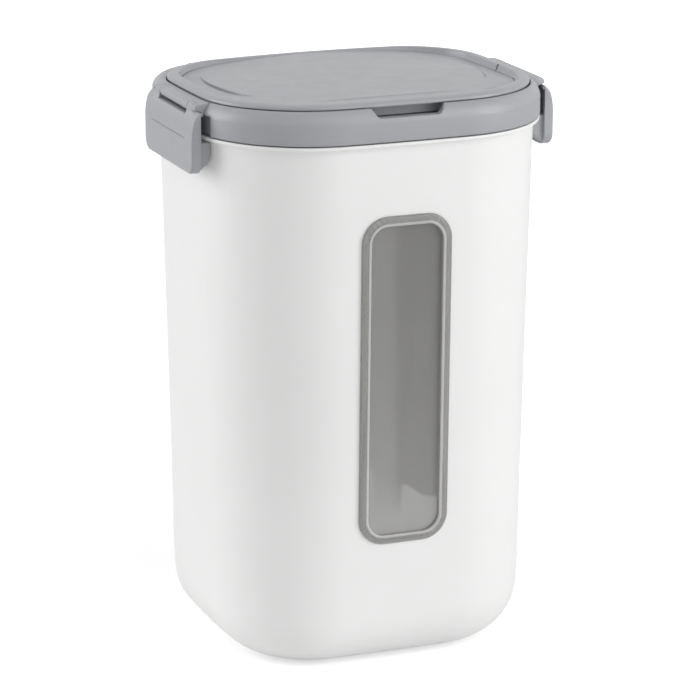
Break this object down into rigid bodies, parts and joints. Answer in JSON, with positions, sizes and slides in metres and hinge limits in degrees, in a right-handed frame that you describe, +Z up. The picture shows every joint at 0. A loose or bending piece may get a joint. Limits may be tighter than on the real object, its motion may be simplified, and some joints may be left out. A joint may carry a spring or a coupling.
{
  "type": "rice bin with flip lid",
  "caption": "Tapered food storage bin with a tall window in its front, a lid frame held by side latches, and a flap hinged along the back of the lid for pouring and scooping.",
  "frame": {"origin": "centre of the base, on the plane the bin stands on", "axes": "+Z up, +X to the right along the wide front face, -Y out of the front face with the window; the flap hinges at the back"},
  "size_m": [0.2168, 0.179, 0.3278],
  "materials": {
    "bin_white": "satin moulded polypropylene, warm white",
    "lid_grey": "satin moulded polypropylene, light cool grey",
    "smoky_clear": "smoky translucent moulded plastic, fine satin flange and clear pane",
    "seal_white": "soft white silicone",
    "pin_steel": "plain drawn steel"
  },
  "bodies": {
    "bin": {"bin_body": "bin_white", "window_panel": "smoky_clear", "window_seal": "seal_white"},
    "lid": {"lid_frame": "lid_grey", "lid_gasket": "seal_white", "hinge_pin_left": "pin_steel", "hinge_pin_right": "pin_steel", "latch_pin_left": "pin_steel", "latch_pin_right": "pin_steel"},
    "flap": {"flap_cover": "lid_grey", "flap_liner": "lid_grey", "flap_gasket": "seal_white"},
    "left_latch": {"latch_left": "lid_grey"},
    "right_latch": {"latch_right": "lid_grey"}
  },
  "joints": [
    {"name": "lid_lift", "type": "slide", "parent": "bin", "child": "lid", "axis": [0, 0, 1], "range_m": [0, 0.0105]},
    {"name": "flap_hinge", "type": "hinge", "parent": "lid", "child": "flap", "pos_m": [0, 0.081, 0.3209], "axis": [-1, 0, 0], "range_deg": [0, 110]},
    {"name": "latch_left_hinge", "type": "hinge", "parent": "lid", "child": "left_latch", "pos_m": [-0.102, 0, 0.3205], "axis": [0, 1, 0], "range_deg": [0, 110]},
    {"name": "latch_right_hinge", "type": "hinge", "parent": "lid", "child": "right_latch", "pos_m": [0.102, 0, 0.3205], "axis": [0, -1, 0], "range_deg": [0, 110]}
  ],
  "couplings": [
    {"joint": "latch_left_hinge", "follows": "lid_lift", "rad_per_m": 182.84},
    {"joint": "latch_right_hinge", "follows": "lid_lift", "rad_per_m": 182.84}
  ]
}
